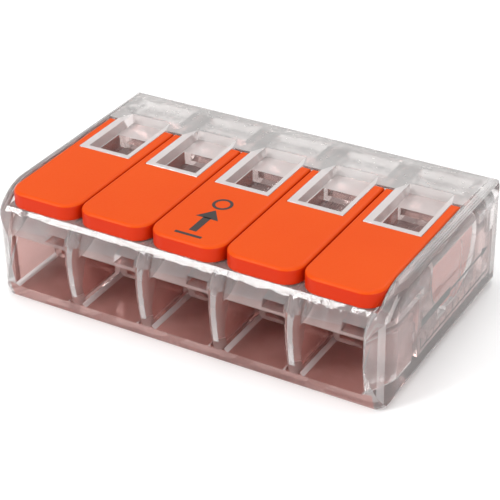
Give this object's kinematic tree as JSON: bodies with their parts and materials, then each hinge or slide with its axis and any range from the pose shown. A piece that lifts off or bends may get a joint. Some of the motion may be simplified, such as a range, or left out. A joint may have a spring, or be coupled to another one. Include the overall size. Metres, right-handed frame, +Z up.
{
  "type": "lever wire connector",
  "caption": "Low clear splicing connector: a row of square wire entries, a flip-up clamping lever over each, and one current bar joining all poles.",
  "frame": {"origin": "centre of the base's bounding box, on the surface it stands on", "axes": "+X along the row of poles, -Y out of the wire entries, +Z up through the levers"},
  "size_m": [0.0298, 0.0186, 0.0083],
  "materials": {
    "clear_plastic": "clear polycarbonate, polished",
    "orange_plastic": "satin moulded",
    "tinned_copper": "tin plated, satin",
    "spring_steel": "rolled strip, satin"
  },
  "bodies": {
    "base": {"housing": "clear_plastic", "rear_cover": "clear_plastic", "busbar": "tinned_copper", "clamp_spring_1": "spring_steel", "clamp_spring_2": "spring_steel", "clamp_spring_3": "spring_steel", "clamp_spring_4": "spring_steel", "clamp_spring_5": "spring_steel"},
    "lever_1_body": {"lever_1": "orange_plastic"},
    "leg_1_body": {"clamping_leg_1": "spring_steel"},
    "lever_2_body": {"lever_2": "orange_plastic"},
    "leg_2_body": {"clamping_leg_2": "spring_steel"},
    "lever_3_body": {"lever_3": "orange_plastic"},
    "leg_3_body": {"clamping_leg_3": "spring_steel"},
    "lever_4_body": {"lever_4": "orange_plastic"},
    "leg_4_body": {"clamping_leg_4": "spring_steel"},
    "lever_5_body": {"lever_5": "orange_plastic"},
    "leg_5_body": {"clamping_leg_5": "spring_steel"}
  },
  "joints": [
    {"name": "lever_1_turn", "type": "hinge", "parent": "base", "child": "lever_1_body", "pos_m": [-0.0112, 0.00172, 0.00585], "axis": [-1, 0, 0], "range_deg": [0, 90]},
    {"name": "leg_1_bend", "type": "hinge", "parent": "base", "child": "leg_1_body", "pos_m": [-0.0112, -0.0025, 0.00452], "axis": [1, 0, 0], "range_deg": [0, 30]},
    {"name": "lever_2_turn", "type": "hinge", "parent": "base", "child": "lever_2_body", "pos_m": [-0.0056, 0.00172, 0.00585], "axis": [-1, 0, 0], "range_deg": [0, 90]},
    {"name": "leg_2_bend", "type": "hinge", "parent": "base", "child": "leg_2_body", "pos_m": [-0.0056, -0.0025, 0.00452], "axis": [1, 0, 0], "range_deg": [0, 30]},
    {"name": "lever_3_turn", "type": "hinge", "parent": "base", "child": "lever_3_body", "pos_m": [0, 0.00172, 0.00585], "axis": [-1, 0, 0], "range_deg": [0, 90]},
    {"name": "leg_3_bend", "type": "hinge", "parent": "base", "child": "leg_3_body", "pos_m": [0, -0.0025, 0.00452], "axis": [1, 0, 0], "range_deg": [0, 30]},
    {"name": "lever_4_turn", "type": "hinge", "parent": "base", "child": "lever_4_body", "pos_m": [0.0056, 0.00172, 0.00585], "axis": [-1, 0, 0], "range_deg": [0, 90]},
    {"name": "leg_4_bend", "type": "hinge", "parent": "base", "child": "leg_4_body", "pos_m": [0.0056, -0.0025, 0.00452], "axis": [1, 0, 0], "range_deg": [0, 30]},
    {"name": "lever_5_turn", "type": "hinge", "parent": "base", "child": "lever_5_body", "pos_m": [0.0112, 0.00172, 0.00585], "axis": [-1, 0, 0], "range_deg": [0, 90]},
    {"name": "leg_5_bend", "type": "hinge", "parent": "base", "child": "leg_5_body", "pos_m": [0.0112, -0.0025, 0.00452], "axis": [1, 0, 0], "range_deg": [0, 30]}
  ],
  "couplings": [
    {"joint": "leg_1_bend", "follows": "lever_1_turn", "ratio": 0.33333},
    {"joint": "leg_2_bend", "follows": "lever_2_turn", "ratio": 0.33333},
    {"joint": "leg_3_bend", "follows": "lever_3_turn", "ratio": 0.33333},
    {"joint": "leg_4_bend", "follows": "lever_4_turn", "ratio": 0.33333},
    {"joint": "leg_5_bend", "follows": "lever_5_turn", "ratio": 0.33333}
  ]
}
